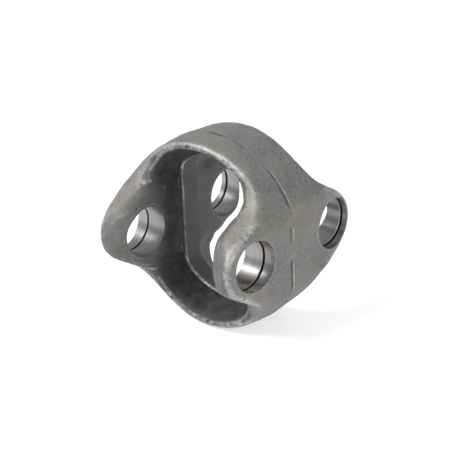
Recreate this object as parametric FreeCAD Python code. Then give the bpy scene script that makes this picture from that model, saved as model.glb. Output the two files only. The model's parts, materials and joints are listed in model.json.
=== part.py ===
import FreeCAD, Part
import math
import os

# Centre yoke of a double-cardan (constant-velocity) driveshaft joint: one steel forging.
#
# Frame: the origin is midway between the two cross-bore axes. Y is the driveline axis, X runs along
# the cross bores and Z points up. The forging is a hollow ring round Y that carries two front ears
# (-Y) and two rear ears (+Y). Each ear is bored for a bearing cup and grooved for its snap ring.
# All sizes are in millimetres, and angles in degrees.

Vector = FreeCAD.Vector

# Machined cross bores. The lip is the bore's mouth outside the snap-ring groove.
bore_radius = 13.5
bore_spacing = 64.8
groove_inner_span = 79.1
groove_outer_span = 81.8
groove_radius = 14.5
lip_clearance = 0.2
lip_radius = bore_radius + lip_clearance

# The raw forging sits a little forward of the machined bores
forging_centre = -1.7
parting_y = -5.0
draft_angle = 4.3

# Outside of the ring, at the parting plane
ring_radius = 53.2
flat_half_width = 48.4
outer_corner_radius = 9.0

# Side profile of the ears and rims, as distances from the forging's centre
ear_radius = 18.4
flank_angle = 33.0
flank_blend_radius = 20.0
rim_half_spacing = 19.4
rim_sweep_radius = 40.0
outer_rim_radius = 2.6
sharp_edge_angle = 30.0

# Pierced opening through the web
cheek_half_gap = 27.8
pierced_radius = 39.8
pierced_corner_radius = 12.0

# Pockets forged in from both ends: floor, rim and flared mouth
front_floor_distance = 3.1
rear_floor_distance = 10.2
pocket_floor_radius = 40.6
pocket_floor_half_width = 28.6
pocket_floor_corner = 12.5
pocket_rim_distance = 20.5
pocket_rim_radius = 48.2
pocket_rim_half_width = 31.0
pocket_rim_corner = 19.0
flare_distance = 34.0
flare_half_width = 47.4
flare_corner = 24.0

# Cheeks: the flat inner faces of the ears, with rolled edges
cheek_half_width = 25.5
cheek_margin = 0.3
cheek_roll_depth = 14.0
tip_roll = 13.5
side_roll = 2.6
flank_roll = 3.0
flank_slope = 1.4
roll_sections = 4


def flatted_ring_wire(radius, half_width, corner_radius, y):
    """Closed outline in the plane at height y along the driveline: a circle with two blended flats."""
    corner_x = half_width - corner_radius
    corner_z = math.sqrt((radius - corner_radius) ** 2 - corner_x ** 2)
    tangent_scale = radius / (radius - corner_radius)
    arc_x = corner_x * tangent_scale
    arc_z = corner_z * tangent_scale
    mid_angle = math.atan2(corner_z, corner_x) / 2
    mid_x = corner_x + corner_radius * math.cos(mid_angle)
    mid_z = corner_z + corner_radius * math.sin(mid_angle)

    def point(x, z):
        return Vector(x, y, z)

    edges = []
    for side in (1, -1):
        flat_start = point(side * half_width, -side * corner_z)
        flat_end = point(side * half_width, side * corner_z)
        edges.append(Part.makeLine(flat_start, flat_end))
        corner_end = point(side * arc_x, side * arc_z)
        edges.append(Part.Arc(flat_end, point(side * mid_x, side * mid_z), corner_end).toShape())
        arc_end = point(-side * arc_x, side * arc_z)
        edges.append(Part.Arc(corner_end, point(0, side * radius), arc_end).toShape())
        next_flat = point(-side * half_width, side * corner_z)
        edges.append(Part.Arc(arc_end, point(-side * mid_x, side * mid_z), next_flat).toShape())
    return Part.Wire(edges)


def drafted_ring_prism(radius, half_width, corner_radius, start_y, end_y):
    """Prism of the flatted outline that narrows by the draft angle from start_y to end_y."""
    inset = abs(end_y - start_y) * math.tan(math.radians(draft_angle))
    start = flatted_ring_wire(radius, half_width, corner_radius, start_y)
    end = flatted_ring_wire(radius - inset, half_width - inset, corner_radius - inset, end_y)
    return Part.makeLoft([start, end], True, True)


def mirrored_outline(quarter_edges):
    """Wire in the YZ plane from the edges of one quarter, repeated front/rear and above/below."""
    centre = Vector(0, forging_centre, 0)
    upper = list(quarter_edges)
    for edge in quarter_edges:
        upper.append(edge.mirror(centre, Vector(0, 1, 0)))
    lower = [edge.mirror(centre, Vector(0, 0, 1)) for edge in upper]
    return Part.Wire(Part.__sortEdges__(upper + lower))


def forward(distance, z):
    """Point at a distance in front of the forging's centre, in the plane x = 0."""
    return Vector(0, forging_centre - distance, z)


def ear_and_flank(ear_distance, tip_radius, slope, flank_end):
    """Half of an ear's round tip, then its straight flank up to flank_end."""
    sine = math.sin(slope)
    cosine = math.cos(slope)
    half_turn = (math.pi / 2 - slope) / 2
    tip = forward(ear_distance + tip_radius, 0)
    on_tip = forward(ear_distance + tip_radius * math.cos(half_turn), tip_radius * math.sin(half_turn))
    tangent = forward(ear_distance + tip_radius * sine, tip_radius * cosine)
    return [Part.Arc(tip, on_tip, tangent).toShape(), Part.makeLine(tangent, flank_end)]


def flank_height(tip_radius, slope, distance):
    """Height of the flank line, or of its extension, at a distance in front of the centre."""
    reach = math.sin(slope) * (bore_spacing / 2 - distance) + tip_radius
    return reach / math.cos(slope)


def side_profile():
    """Solid whose outline across the driveline is that of the ears and rims."""
    slope = math.radians(flank_angle)
    sine = math.sin(slope)
    cosine = math.cos(slope)
    blend_distance = rim_half_spacing + flank_blend_radius
    blend_z = flank_height(ear_radius + flank_blend_radius, slope, blend_distance)
    flank_end = forward(blend_distance - flank_blend_radius * sine, blend_z - flank_blend_radius * cosine)
    half_turn = (math.pi / 2 - slope) / 2
    on_blend = forward(
        blend_distance - flank_blend_radius * math.cos(half_turn),
        blend_z - flank_blend_radius * math.sin(half_turn),
    )
    rim = forward(rim_half_spacing, blend_z)
    top_z = ring_radius + flank_blend_radius
    rise = top_z - blend_z
    sweep_distance = rim_half_spacing + rim_sweep_radius
    top = forward(sweep_distance - math.sqrt(rim_sweep_radius**2 - rise**2), top_z)
    on_sweep = forward(sweep_distance - math.sqrt(rim_sweep_radius**2 - rise**2 / 4), blend_z + rise / 2)
    quarter = ear_and_flank(bore_spacing / 2, ear_radius, slope, flank_end)
    quarter.append(Part.Arc(flank_end, on_blend, rim).toShape())
    quarter.append(Part.Arc(rim, on_sweep, top).toShape())
    quarter.append(Part.makeLine(top, forward(0, top_z)))
    face = Part.Face(mirrored_outline(quarter))
    width = 4 * flat_half_width
    face.translate(Vector(-width / 2, 0, 0))
    return face.extrude(Vector(width, 0, 0))


def outer_form():
    """Drafted ring blank trimmed to the side profile, with its outer edges rounded."""
    reach = 2 * bore_spacing
    front = drafted_ring_prism(ring_radius, flat_half_width, outer_corner_radius, parting_y, -reach / 2)
    rear = drafted_ring_prism(ring_radius, flat_half_width, outer_corner_radius, parting_y, reach / 2)
    form = front.fuse(rear).common(side_profile())
    return form.makeFillet(outer_rim_radius, sharp_edges(form))


def sharp_edges(shape):
    """Edges whose two faces turn by more than the sharp-edge angle."""
    found = []
    for edge in shape.Edges:
        middle = edge.valueAt((edge.FirstParameter + edge.LastParameter) / 2)
        normals = []
        for face in shape.ancestorsOfType(edge, Part.Face):
            u, v = face.Surface.parameter(middle)
            normals.append(face.normalAt(u, v))
        if len(normals) == 2 and normals[0].getAngle(normals[1]) > math.radians(sharp_edge_angle):
            found.append(edge)
    return found


def pocket(side, floor_distance):
    """Recess that widens from its floor to the rim, then flares; it opens forward (side 1) or rearward."""
    sections = [
        (floor_distance, pocket_floor_radius, pocket_floor_half_width, pocket_floor_corner),
        (pocket_rim_distance, pocket_rim_radius, pocket_rim_half_width, pocket_rim_corner),
        (flare_distance, pocket_rim_radius, flare_half_width, flare_corner),
        (2 * bore_spacing, pocket_rim_radius, flare_half_width, flare_corner),
    ]
    wires = []
    for distance, radius, half_width, corner_radius in sections:
        y = forging_centre - side * distance
        wires.append(flatted_ring_wire(radius, half_width, corner_radius, y))
    return Part.makeLoft(wires, True, True)


def cheek_wire(x, ear_distance, tip_radius, middle_half_width):
    """Outline of a cheek in the plane at x: two round tips and flanks that meet at the middle."""
    reach = math.hypot(ear_distance, middle_half_width)
    slope = math.acos(tip_radius / reach) - math.atan2(ear_distance, middle_half_width)
    quarter = ear_and_flank(ear_distance, tip_radius, slope, forward(0, middle_half_width))
    wire = mirrored_outline(quarter)
    wire.translate(Vector(x, 0, 0))
    return wire


def cheek(side):
    """One side wall inside the hollow, with its edges rolled over from the flat inner face."""
    sections = []
    for step in range(roll_sections + 1):
        turn = math.pi / 2 * step / roll_sections
        depth = cheek_roll_depth * (1 - math.cos(turn))
        inset = 1 - math.sin(turn)
        x = side * (cheek_half_gap + depth)
        ear_distance = bore_spacing / 2 - inset * (tip_roll - side_roll)
        tip_radius = ear_radius + cheek_margin - inset * side_roll
        half_width = cheek_half_width - flank_roll * inset + flank_slope * depth
        sections.append(cheek_wire(x, ear_distance, tip_radius, half_width))
    wall = Part.Face(sections[-1]).extrude(Vector(side * flat_half_width, 0, 0))
    return Part.makeLoft(sections, True, False, False, 3).fuse(wall)


def hollow():
    """Everything taken out of the inside of the forging, clear of the two cheeks."""
    start_y = -2 * bore_spacing
    pierced = flatted_ring_wire(pierced_radius, cheek_half_gap, pierced_corner_radius, start_y)
    opening = Part.Face(pierced).extrude(Vector(0, 4 * bore_spacing, 0))
    pockets = pocket(1, front_floor_distance).fuse(pocket(-1, rear_floor_distance))
    for side in (1, -1):
        pockets = pockets.cut(cheek(side))
    return pockets.fuse(opening)


def bore_cutter(y):
    """Stepped bore through both ears of one pair: bore, snap-ring grooves and lips."""
    end = 2 * flat_half_width
    profile = [
        (0, 0),
        (0, bore_radius),
        (groove_inner_span / 2, bore_radius),
        (groove_inner_span / 2, groove_radius),
        (groove_outer_span / 2, groove_radius),
        (groove_outer_span / 2, lip_radius),
        (end, lip_radius),
        (end, 0),
        (0, 0),
    ]
    points = [Vector(x, radius, 0) for x, radius in profile]
    half = Part.Face(Part.makePolygon(points)).revolve(Vector(0, 0, 0), Vector(1, 0, 0), 360)
    whole = half.fuse(half.mirror(Vector(0, 0, 0), Vector(1, 0, 0)))
    whole.translate(Vector(0, y, 0))
    return whole


def centre_yoke():
    """The finished forging, pierced, bored and grooved."""
    yoke = outer_form().cut(hollow())
    for y in (-bore_spacing / 2, bore_spacing / 2):
        yoke = yoke.cut(bore_cutter(y))
    return yoke


def write_parts():
    """Writes each node to its own STEP file."""
    os.makedirs("parts", exist_ok=True)
    centre_yoke().exportStep("parts/centre_yoke.step")


write_parts()
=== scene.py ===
import json
import math

import bpy
import numpy as np
from mathutils import Matrix, Vector, noise
from mathutils.bvhtree import BVHTree


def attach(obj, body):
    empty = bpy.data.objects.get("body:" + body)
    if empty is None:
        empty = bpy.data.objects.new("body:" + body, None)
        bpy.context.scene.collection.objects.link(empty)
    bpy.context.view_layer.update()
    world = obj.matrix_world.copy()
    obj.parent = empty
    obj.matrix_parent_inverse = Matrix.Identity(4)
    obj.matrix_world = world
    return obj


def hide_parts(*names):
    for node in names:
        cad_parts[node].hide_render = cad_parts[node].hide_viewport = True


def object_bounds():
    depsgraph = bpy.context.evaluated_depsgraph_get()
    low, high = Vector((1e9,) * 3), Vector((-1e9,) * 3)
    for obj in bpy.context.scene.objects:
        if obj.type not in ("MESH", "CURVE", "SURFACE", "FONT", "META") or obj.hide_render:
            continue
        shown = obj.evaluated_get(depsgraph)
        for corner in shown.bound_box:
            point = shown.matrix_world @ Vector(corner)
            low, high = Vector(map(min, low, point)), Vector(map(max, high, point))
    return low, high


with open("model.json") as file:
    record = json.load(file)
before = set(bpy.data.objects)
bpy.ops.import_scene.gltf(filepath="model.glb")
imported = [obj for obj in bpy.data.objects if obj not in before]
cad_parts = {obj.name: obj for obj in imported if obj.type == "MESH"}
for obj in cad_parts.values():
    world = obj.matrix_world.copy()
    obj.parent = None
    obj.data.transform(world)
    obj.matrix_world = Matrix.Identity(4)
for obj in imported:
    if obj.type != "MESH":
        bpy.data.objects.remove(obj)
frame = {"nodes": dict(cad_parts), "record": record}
CAD_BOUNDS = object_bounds()

# Sizes in metres. The bores come from the part's record.
MOUNTS = {m["name"]: m for m in frame["record"]["mounts"]}
BORE_YS = [MOUNTS[name]["pos_m"][1] for name in ("front_cross_bore", "rear_cross_bore")]
BORE_R = MOUNTS["front_cross_bore"]["dims"]["r_mm"] / 1000
GROOVE_START = MOUNTS["front_cross_bore"]["dims"]["length_mm"] / 2000
GROOVE_WIDTH = 0.00135
GROOVE_END = GROOVE_START + GROOVE_WIDTH
GROOVE_R = BORE_R + 0.001
LIP_R = BORE_R + 0.0002
CHAMFER = 0.00022
CUTTER_END_X = 0.06
CUTTER_STEPS = 144

# The forging round the bores, as the CAD has it
PARTING_Y = -0.005
SHEAR_END_Y = 0.0085
WEB_R = 0.0435
CHEEK_X = 0.0278
FORGING_Y = -0.0017
EAR_DISTANCE = BORE_YS[1]
EAR_R = 0.0184
FLANK = math.radians(33.0)
BLEND_CENTRE = (0.0394, 0.0412)
BLEND_R = 0.020
BLEND_FROM_Z = 0.022

# Inner edges of the ears, which the CAD leaves too thin
CHEEK_STEP = 0.0026
ROLL_WIDTH = 0.0038
ROLL_DEPTH = 0.0045
TIP_ROLL_R = 0.016
TIP_ROLL_LENGTH = 0.01386
TIP_ROLL_START = {"front": 0.0360, "rear": 0.0378}
TIP_TURN = math.radians(60)
CHEEK_FROM_X = 0.026
OUTER_X = 0.046
THINNEST = 0.002
RAY_CLEAR_R = 0.0148
RAY_INSET = 0.0008

# Mesh
VOXEL = 0.00074
FILLED_R = 0.0112
SMOOTH_PASSES = 16
SMOOTH_STEP = 0.6
SCALE_LOSS = 0.00012

# Camera and floor
FOCAL_PIXELS = 1734.8
IMAGE_PIXELS = 450
SENSOR_MM = 36
CAMERA_DISTANCE = 0.91757
CAMERA_OFFSET = (-0.0014289, -0.0007725)
FLOOR_HALF = 6.0


def new_object(name, mesh):
    obj = bpy.data.objects.new(name, mesh)
    bpy.context.scene.collection.objects.link(obj)
    return obj


def applied(obj):
    """The object's mesh with its modifiers applied."""
    bpy.context.view_layer.update()
    evaluated = obj.evaluated_get(bpy.context.evaluated_depsgraph_get())
    mesh = bpy.data.meshes.new_from_object(evaluated)
    obj.modifiers.clear()
    obj.data = mesh
    return mesh


def coordinates(mesh):
    co = np.empty(len(mesh.vertices) * 3)
    mesh.vertices.foreach_get("co", co)
    return co.reshape(-1, 3)


def set_coordinates(mesh, co):
    mesh.vertices.foreach_set("co", co.ravel())
    mesh.update()


def normals(mesh):
    n = np.empty(len(mesh.vertices) * 3)
    mesh.vertex_normals.foreach_get("vector", n)
    return n.reshape(-1, 3)


def edge_pairs(mesh):
    e = np.empty(len(mesh.edges) * 2, dtype=np.int64)
    mesh.edges.foreach_get("vertices", e)
    return e.reshape(-1, 2)


def neighbour_mean(values, edges, degree):
    total = np.zeros_like(values)
    for k in range(values.shape[1]):
        total[:, k] = np.bincount(edges[:, 0], values[edges[:, 1], k], len(values))
        total[:, k] += np.bincount(edges[:, 1], values[edges[:, 0], k], len(values))
    return total / degree[:, None]


def degrees(edges, count):
    return np.maximum(np.bincount(edges.ravel(), minlength=count), 1)


def noise_at(points, scale, seed, octaves=2):
    """Smooth noise from about -1 to 1, whose features are about scale metres wide."""
    shift = Vector((seed * 7.1, seed * 3.7, seed * 5.3))
    return np.array([
        noise.fractal(Vector(p) / scale + shift, 1.0, 2.0, octaves, noise_basis="PERLIN_ORIGINAL")
        for p in points
    ])


def smoothstep(low, high, x):
    t = np.clip((x - low) / (high - low), 0, 1)
    return t * t * (3 - 2 * t)


def bump_shape(x, width):
    return np.exp(-((x / width) ** 2))


def bore_distance(co):
    """Distance from the nearest cross-bore axis."""
    return np.min([np.hypot(co[:, 1] - y, co[:, 2]) for y in BORE_YS], axis=0)


def filled_bores(co):
    """The CAD mesh with each bore drawn in to a narrower plain hole, so that it can be cut again."""
    out = co.copy()
    for y in BORE_YS:
        r = np.hypot(co[:, 1] - y, co[:, 2])
        inner = r < GROOVE_R + 0.0001
        scale = FILLED_R / r[inner]
        out[inner, 1] = y + (co[inner, 1] - y) * scale
        out[inner, 2] = co[inner, 2] * scale
    return out


def remeshed_forging(source):
    mesh = source.data.copy()
    obj = new_object("forging", mesh)
    weld = obj.modifiers.new("weld", "WELD")
    weld.merge_threshold = 1e-6
    mesh = applied(obj)
    set_coordinates(mesh, filled_bores(coordinates(mesh)))
    remesh = obj.modifiers.new("remesh", "REMESH")
    remesh.mode = "VOXEL"
    remesh.voxel_size = VOXEL
    remesh.use_smooth_shade = True
    applied(obj)
    return obj


def profile_depth(d, z):
    """Depth in from the side outline of an ear, at distance d along the driveline and height z."""
    along = d - EAR_DISTANCE
    tip = EAR_R - np.hypot(along, z)
    line = EAR_R - along * math.sin(FLANK) - z * math.cos(FLANK)
    blend = np.hypot(d - BLEND_CENTRE[0], z - BLEND_CENTRE[1]) - BLEND_R
    line = np.where(z > BLEND_FROM_Z, np.minimum(line, blend), line)
    return np.where(along * math.cos(FLANK) > z * math.sin(FLANK), tip, line)


def inner_face_x(d, z, rear):
    """Half gap between the cheeks: flat, rolled over along the flanks and round the ear tips."""
    base = CHEEK_X + CHEEK_STEP * smoothstep(0.0195, 0.0235, z)
    near = np.clip((ROLL_WIDTH - profile_depth(d, z)) / ROLL_WIDTH, 0, 1)
    side = base + ROLL_DEPTH * (1 - np.sqrt(1 - near**2))
    start = np.where(rear, TIP_ROLL_START["rear"], TIP_ROLL_START["front"])
    turn = np.arcsin(np.clip((d - start) / TIP_ROLL_R, 0, math.sin(TIP_TURN)))
    beyond = np.maximum(d - start - TIP_ROLL_LENGTH, 0)
    tip = CHEEK_X + TIP_ROLL_R * (1 - np.cos(turn)) + beyond * math.tan(TIP_TURN)
    return np.maximum(side, tip)


def fuller_flanks(mesh):
    """Brings the inner edges of the ears in to where the forging has them, leaving the outside alone."""
    co = coordinates(mesh)
    polygons = [tuple(p.vertices) for p in mesh.polygons]
    tree = BVHTree.FromPolygons([Vector(c) for c in co], polygons)
    distance = np.abs(co[:, 1] - FORGING_Y)
    target = inner_face_x(distance, np.abs(co[:, 2]), co[:, 1] > FORGING_Y)
    ramp = smoothstep(0.0192, 0.0222, distance)
    across = np.abs(co[:, 0])
    for i in np.nonzero((ramp > 0) & (across > CHEEK_FROM_X) & (across < OUTER_X))[0]:
        x, y, z = co[i]
        bore_y = math.copysign(EAR_DISTANCE, y)
        r = max(math.hypot(y - bore_y, z), 1e-6)
        scale = (RAY_CLEAR_R if r < RAY_CLEAR_R else r - RAY_INSET) / r
        start = Vector((0, bore_y + (y - bore_y) * scale, z * scale))
        hit = tree.ray_cast(start, Vector((math.copysign(1, x), 0, 0)))[0]
        if hit is None:
            continue
        now = abs(hit.x)
        wanted = now + (target[i] - now) * ramp[i]
        if now < OUTER_X - THINNEST and wanted < now:
            share = (OUTER_X - wanted) / (OUTER_X - now)
            moved = OUTER_X - (OUTER_X - abs(x)) * share
            co[i, 0] = math.copysign(max(moved, CHEEK_X), x)
    set_coordinates(mesh, co)


def smoothed(mesh):
    """Rounds the forged edges and hollows, but keeps the faces round each bore."""
    co = coordinates(mesh)
    edges = edge_pairs(mesh)
    degree = degrees(edges, len(co))
    clear = smoothstep(BORE_R + 0.0008, BORE_R + 0.004, bore_distance(co))
    on_web = bump_shape(co[:, 1] - PARTING_Y, 0.0012) * (np.hypot(co[:, 0], co[:, 2]) < WEB_R)
    strength = (0.2 + 0.8 * clear) * (1 - 0.75 * on_web)
    for _ in range(SMOOTH_PASSES):
        mean = neighbour_mean(co, edges, degree)
        co += SMOOTH_STEP * strength[:, None] * (mean - co)
    set_coordinates(mesh, co)


def outer_skin(co, n):
    """1 on the outside of the ring and ears, 0 inside the hollow."""
    radial = co[:, 0] * n[:, 0] + co[:, 2] * n[:, 2]
    size = np.hypot(co[:, 0], co[:, 2])
    return smoothstep(0.0, 0.5, radial / np.maximum(size, 1e-6))


def forged_relief(mesh):
    """Flash line, trim line, dents and waves of the raw forging."""
    co = coordinates(mesh)
    n = normals(mesh)
    outside = outer_skin(co, n)
    radius = np.hypot(co[:, 0], co[:, 2])
    clear = smoothstep(BORE_R + 0.0003, BORE_R + 0.003, bore_distance(co))
    wave = noise_at(co, 0.013, 1) * 0.00016 + noise_at(co, 0.004, 2) * 0.00007
    wander = noise_at(co, 0.018, 3) * 0.0009
    y = co[:, 1] - PARTING_Y - wander
    strength = smoothstep(-0.35, 0.45, noise_at(co, 0.011, 4))
    ridge = bump_shape(y, 0.0006) * (0.12 + 0.5 * strength) * 0.00042
    crack = bump_shape(y + 0.0011, 0.00045) * strength * 0.00034
    crack += bump_shape(y - 0.0016, 0.0005) * (1 - strength) * 0.00012
    flash = outside * (ridge - crack)
    web_y = co[:, 1] - PARTING_Y - 0.0003 - noise_at(co, 0.006, 5) * 0.0004
    inside = (1 - outside) * (radius < 0.0428)
    groove = bump_shape(web_y, 0.0006) * 0.0007
    burr = bump_shape(web_y - 0.0012, 0.0007) * (0.4 + 0.6 * strength) * 0.00035
    trim = inside * (burr - groove)
    dents = np.maximum(noise_at(co, 0.0032, 6, 1) - 0.38, 0) * -0.0006
    rough_inside = inside * noise_at(co, 0.0022, 7, 1) * 0.00009
    move = clear * (wave + dents + rough_inside) + flash + trim
    move -= SCALE_LOSS
    set_coordinates(mesh, np.clip(co + n * move[:, None], CAD_BOUNDS[0], CAD_BOUNDS[1]))


def bore_cutter(y):
    """Closed surface of one pair of bores, with snap-ring grooves and lips."""
    half = [
        (0.0, BORE_R),
        (GROOVE_START - CHAMFER, BORE_R),
        (GROOVE_START, BORE_R + CHAMFER),
        (GROOVE_START, GROOVE_R),
        (GROOVE_END, GROOVE_R),
        (GROOVE_END, LIP_R + CHAMFER),
        (GROOVE_END + CHAMFER, LIP_R),
        (CUTTER_END_X, LIP_R),
    ]
    profile = [(-x, r) for x, r in reversed(half[1:])] + half
    steps = CUTTER_STEPS
    verts = []
    for x, r in profile:
        for k in range(steps):
            a = 2 * math.pi * k / steps
            verts.append((x, y + r * math.cos(a), r * math.sin(a)))
    faces = []
    for ring in range(len(profile) - 1):
        for k in range(steps):
            a = ring * steps + k
            b = ring * steps + (k + 1) % steps
            faces.append((a, b, b + steps, a + steps))
    faces.append(tuple(range(steps)))
    last = (len(profile) - 1) * steps
    faces.append(tuple(reversed(range(last, last + steps))))
    mesh = bpy.data.meshes.new("bore_cutter")
    mesh.from_pydata(verts, [], faces)
    for polygon in mesh.polygons:
        corners = [mesh.vertices[v].co for v in polygon.vertices]
        reach = max(math.hypot(corner.y - y, corner.z) for corner in corners)
        # Groove faces get the second material, which is painted shade.
        if reach > GROOVE_R - 0.0001 and abs(polygon.center.x) < GROOVE_END + 0.0001:
            polygon.material_index = 1
    mesh.update()
    return new_object("bore_cutter", mesh)


def cut_bores(obj, machined, groove_shade):
    """Cuts both pairs of bores, with machined steel in the bores and steel painted dark as shade in the
    grooves.
    """
    for y in BORE_YS:
        cutter = bore_cutter(y)
        cutter.data.materials.append(machined)
        cutter.data.materials.append(groove_shade)
        cut = obj.modifiers.new("bore", "BOOLEAN")
        cut.operation = "DIFFERENCE"
        cut.solver = "EXACT"
        cut.object = cutter
        cut.material_mode = "TRANSFER"
        applied(obj)
        bpy.data.objects.remove(cutter, do_unlink=True)


def set_attribute(mesh, name, values):
    attribute = mesh.attributes.new(name, "FLOAT", "POINT")
    attribute.data.foreach_set("value", values.astype(np.float32))


def paint_masks(mesh):
    """Stores where the surface has wear and painted highlight, is sheared, has painted shade in the
    front pocket, or is cracked.
    """
    co = coordinates(mesh)
    n = normals(mesh)
    edges = edge_pairs(mesh)
    degree = degrees(edges, len(co))
    outside = outer_skin(co, n)
    radius = np.hypot(co[:, 0], co[:, 2])
    clear = smoothstep(BORE_R + 0.0006, BORE_R + 0.0024, bore_distance(co))
    soft = n.copy()
    for _ in range(3):
        soft = neighbour_mean(soft, edges, degree)
    place = co.copy()
    for _ in range(6):
        place = neighbour_mean(place, edges, degree)
    convex = np.sum((co - place) * soft, axis=1)
    # Convex edges: real wear, plus a painted highlight on the rims.
    wear_and_highlight = smoothstep(0.00008, 0.00030, convex) * clear
    inner = smoothstep(0.35, 0.75, 1 - outside)
    front = smoothstep(PARTING_Y + 0.0006, PARTING_Y - 0.0006, co[:, 1])
    depth = smoothstep(-0.030, -0.014, co[:, 1])
    # Painted shade: the inside of the front pocket is darkened, more so deeper in.
    pocket_shade = inner * front * (0.45 + 0.55 * depth)
    rear_pocket = smoothstep(SHEAR_END_Y - 0.0005, SHEAR_END_Y + 0.0005, co[:, 1])
    sheared = inner * (1 - front) * (1 - 0.25 * rear_pocket)
    y = co[:, 1] - PARTING_Y
    open_crack = smoothstep(-0.3, 0.3, noise_at(co, 0.011, 4))
    crack = outside * bump_shape(y + 0.0011, 0.0006) * open_crack
    crack = np.maximum(crack, inner * bump_shape(y, 0.0007) * (radius < WEB_R))
    set_attribute(mesh, "wear_and_highlight", wear_and_highlight)
    set_attribute(mesh, "pocket_shade", pocket_shade)
    set_attribute(mesh, "sheared", sheared)
    set_attribute(mesh, "crack", crack)


class Nodes:
    """Small helper that builds a material's nodes."""

    def __init__(self, name):
        self.material = bpy.data.materials.new(name)
        self.material.use_nodes = True
        self.tree = self.material.node_tree
        self.shader = self.tree.nodes["Principled BSDF"]

    def add(self, kind, inputs=None, **settings):
        node = self.tree.nodes.new(kind)
        for key, value in settings.items():
            setattr(node, key, value)
        for key, value in (inputs or {}).items():
            self.put(node.inputs[key], value)
        return node

    def put(self, socket, value):
        if isinstance(value, bpy.types.NodeSocket):
            self.tree.links.new(value, socket)
        else:
            socket.default_value = value

    def attribute(self, name):
        return self.add("ShaderNodeAttribute", attribute_name=name).outputs["Fac"]

    def place(self):
        return self.add("ShaderNodeTexCoord").outputs["Object"]

    def noise(self, scale, detail=3.0, rough=0.55, vector=None):
        inputs = {"Scale": scale, "Detail": detail, "Roughness": rough}
        inputs["Vector"] = vector or self.place()
        return self.add("ShaderNodeTexNoise", inputs).outputs["Fac"]

    def voronoi(self, scale):
        inputs = {"Scale": scale, "Vector": self.place()}
        return self.add("ShaderNodeTexVoronoi", inputs, feature="F1").outputs["Distance"]

    def span(self, value, low, high, start=0.0, end=1.0):
        inputs = {"Value": value, "From Min": low, "From Max": high, "To Min": start, "To Max": end}
        return self.add("ShaderNodeMapRange", inputs).outputs["Result"]

    def math(self, operation, a, b=0.0):
        return self.add("ShaderNodeMath", {0: a, 1: b}, operation=operation).outputs[0]

    def mix(self, factor, a, b):
        node = self.add("ShaderNodeMix", data_type="RGBA")
        self.put(node.inputs["Factor"], factor)
        self.put(node.inputs["A"], a)
        self.put(node.inputs["B"], b)
        return node.outputs["Result"]

    def bump(self, height, strength, distance):
        inputs = {"Height": height, "Strength": strength, "Distance": distance}
        return self.add("ShaderNodeBump", inputs).outputs["Normal"]


def grey(r, g, b):
    """Linear colour from sRGB values of 0 to 255."""
    def linear(c):
        c /= 255
        return c / 12.92 if c <= 0.04045 else ((c + 0.055) / 1.055) ** 2.4
    return (linear(r), linear(g), linear(b), 1.0)


def forged_material():
    """Grey forge scale, lighter on the edges from wear and a painted highlight, and painted dark with
    shade inside the front pocket.
    """
    m = Nodes("forge_scale")
    wear_and_highlight = m.attribute("wear_and_highlight")
    pocket_shade = m.attribute("pocket_shade")
    sheared = m.attribute("sheared")
    crack = m.attribute("crack")
    cloud = m.span(m.noise(70, 4, 0.6), 0.3, 0.7)
    speck = m.span(m.noise(900, 3, 0.7), 0.36, 0.66)
    fine = m.noise(2600, 2, 0.6)
    base = m.mix(cloud, grey(104, 103, 102), grey(134, 131, 128))
    base = m.mix(m.math("MULTIPLY", speck, 0.55), base, grey(160, 157, 154))
    olive = m.math("MULTIPLY", m.span(m.noise(38, 2, 0.5), 0.56, 0.72), 0.4)
    base = m.mix(olive, base, grey(120, 117, 98))
    base = m.mix(m.math("MULTIPLY", sheared, 0.85), base, grey(92, 89, 86))
    # Painted shade: the inside of the front pocket is painted near black.
    dark = m.math("MULTIPLY", pocket_shade, m.span(m.noise(160, 3, 0.6), 0.25, 0.75, 0.7, 1.0))
    base = m.mix(dark, base, grey(40, 39, 39))
    # Lighter on convex edges: partly real wear, partly a painted highlight.
    rubbed_and_highlight = m.math("MULTIPLY", wear_and_highlight, m.span(m.noise(520, 3, 0.7), 0.34, 0.6, 0.25, 1.0))
    base = m.mix(rubbed_and_highlight, base, grey(206, 205, 203))
    pits = m.span(m.voronoi(420), 0.10, 0.26, 1.0, 0.0)
    sparse = m.span(m.noise(210, 2, 0.5), 0.56, 0.64)
    pits = m.math("MULTIPLY", pits, sparse)
    base = m.mix(m.math("MULTIPLY", pits, 0.75), base, grey(38, 36, 36))
    base = m.mix(m.math("MULTIPLY", crack, 0.8), base, grey(30, 29, 29))
    m.put(m.shader.inputs["Base Color"], base)
    rough = m.span(fine, 0.3, 0.7, 0.5, 0.66)
    rough = m.math("SUBTRACT", rough, m.math("MULTIPLY", rubbed_and_highlight, 0.14))
    rough = m.math("ADD", rough, m.math("MULTIPLY", pocket_shade, 0.12))
    m.put(m.shader.inputs["Roughness"], rough)
    m.put(m.shader.inputs["Metallic"], m.math("ADD", m.math("MULTIPLY", rubbed_and_highlight, 0.35), 0.45))
    height = m.math("ADD", m.math("MULTIPLY", speck, 0.6), m.math("MULTIPLY", fine, 0.5))
    height = m.math("SUBTRACT", height, m.math("MULTIPLY", pits, 1.6))
    m.put(m.shader.inputs["Normal"], m.bump(height, 0.7, 0.00012))
    return m.material


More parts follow.
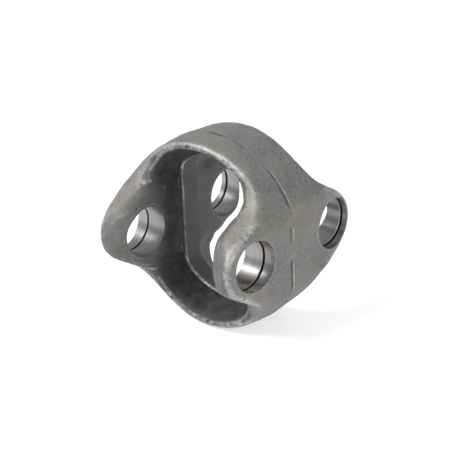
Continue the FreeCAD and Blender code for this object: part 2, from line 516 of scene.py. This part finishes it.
def machined_material():
    """Bored steel, with fine rings round the bore axis."""
    m = Nodes("machined_steel")
    stretch = m.add("ShaderNodeMapping", {"Vector": m.place(), "Scale": (1.0, 0.02, 0.02)}).outputs[0]
    rings = m.noise(2600, 2, 0.6, stretch)
    bands = m.noise(420, 2, 0.5, stretch)
    cloud = m.noise(60, 2, 0.5)
    base = m.mix(m.span(bands, 0.3, 0.7), grey(146, 144, 143), grey(158, 156, 155))
    base = m.mix(m.span(cloud, 0.45, 0.75, 0.0, 0.4), base, grey(142, 136, 128))
    m.put(m.shader.inputs["Base Color"], base)
    m.put(m.shader.inputs["Metallic"], 1.0)
    m.put(m.shader.inputs["Roughness"], m.span(rings, 0.3, 0.7, 0.30, 0.38))
    m.put(m.shader.inputs["Normal"], m.bump(rings, 0.12, 0.00001))
    return m.material


def groove_shade_material():
    """Steel in the snap-ring grooves, painted dark as shade in the recess."""
    m = Nodes("groove_painted_shade")
    # Painted shade: the grooves are coloured near black.
    base = m.mix(m.noise(900, 2, 0.5), grey(26, 25, 25), grey(46, 44, 43))
    m.put(m.shader.inputs["Base Color"], base)
    m.put(m.shader.inputs["Metallic"], 0.3)
    m.put(m.shader.inputs["Roughness"], 0.7)
    return m.material


def build_yoke():
    forged = forged_material()
    machined = machined_material()
    groove_shade = groove_shade_material()
    yoke = remeshed_forging(frame["nodes"]["centre_yoke"])
    fuller_flanks(yoke.data)
    smoothed(yoke.data)
    forged_relief(yoke.data)
    yoke.data.materials.clear()
    yoke.data.materials.append(forged)
    yoke.data.materials.append(machined)
    cut_bores(yoke, machined, groove_shade)
    paint_masks(yoke.data)
    yoke.name = "centre_yoke_forging"
    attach(yoke, "root")
    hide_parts("centre_yoke")


def make_camera():
    """The photo's view, fitted to its outline."""
    azimuth = math.radians(41.79)
    elevation = math.radians(24.10)
    roll = math.radians(2.65)
    away = Vector((math.sin(azimuth) * math.cos(elevation),
                   -math.cos(azimuth) * math.cos(elevation),
                   math.sin(elevation)))
    right = Vector((math.cos(azimuth), math.sin(azimuth), 0))
    up = away.cross(right)
    turned_right = right * math.cos(roll) - up * math.sin(roll)
    turned_up = up * math.cos(roll) + right * math.sin(roll)
    place = away * CAMERA_DISTANCE + turned_right * CAMERA_OFFSET[0] + turned_up * CAMERA_OFFSET[1]
    data = bpy.data.cameras.new("camera")
    data.sensor_width = SENSOR_MM
    data.lens = FOCAL_PIXELS / IMAGE_PIXELS * SENSOR_MM
    data.clip_end = 20
    camera = bpy.data.objects.new("camera", data)
    turn = Matrix((turned_right, turned_up, away)).transposed()
    camera.matrix_world = Matrix.Translation(place) @ turn.to_4x4()
    bpy.context.scene.collection.objects.link(camera)
    bpy.context.scene.camera = camera


def make_floor():
    low = min(CAD_BOUNDS[0][2], CAD_BOUNDS[1][2])
    mesh = bpy.data.meshes.new("floor")
    s = FLOOR_HALF
    mesh.from_pydata([(-s, -s, low), (s, -s, low), (s, s, low), (-s, s, low)], [], [(0, 1, 2, 3)])
    floor = new_object("floor", mesh)
    m = Nodes("pale_floor")
    m.put(m.shader.inputs["Base Color"], (0.62, 0.62, 0.62, 1))
    m.put(m.shader.inputs["Roughness"], 0.9)
    m.put(m.shader.inputs["Specular IOR Level"], 0.0)
    path = m.add("ShaderNodeLightPath")
    seen = m.math("MAXIMUM", path.outputs["Is Camera Ray"], path.outputs["Is Glossy Ray"])
    seen = m.math("MAXIMUM", seen, path.outputs["Is Transmission Ray"])
    m.put(m.shader.inputs["Emission Color"], (1, 1, 1, 1))
    m.put(m.shader.inputs["Emission Strength"], m.math("MULTIPLY", seen, 0.62))
    mesh.materials.append(m.material)


def make_world():
    world = bpy.data.worlds.new("studio")
    world.use_nodes = True
    bpy.context.scene.world = world
    tree = world.node_tree
    background = tree.nodes["Background"]
    path = tree.nodes.new("ShaderNodeLightPath")
    top = tree.nodes.new("ShaderNodeMath")
    top.operation = "MAXIMUM"
    tree.links.new(path.outputs["Is Camera Ray"], top.inputs[0])
    tree.links.new(path.outputs["Is Transmission Ray"], top.inputs[1])
    mix = tree.nodes.new("ShaderNodeMapRange")
    mix.inputs["To Min"].default_value = 0.55
    mix.inputs["To Max"].default_value = 1.0
    tree.links.new(top.outputs[0], mix.inputs["Value"])
    background.inputs["Color"].default_value = (1, 1, 1, 1)
    tree.links.new(mix.outputs["Result"], background.inputs["Strength"])


def area_light(name, place, aim, size, power):
    data = bpy.data.lights.new(name, "AREA")
    data.shape = "RECTANGLE"
    data.size = size[0]
    data.size_y = size[1]
    data.energy = power
    light = bpy.data.objects.new(name, data)
    light.location = place
    light.rotation_euler = (Vector(aim) - Vector(place)).to_track_quat("-Z", "Y").to_euler()
    bpy.context.scene.collection.objects.link(light)


def make_lights():
    area_light("key", (-0.35, -0.80, 0.85), (0, 0, 0), (0.6, 0.4), 13.0)
    area_light("fill", (0.9, -0.3, 0.35), (0, 0, 0), (0.6, 0.6), 2.0)


build_yoke()
make_camera()
make_floor()
make_world()
make_lights()
scene = bpy.context.scene
scene.view_settings.view_transform = "Standard"
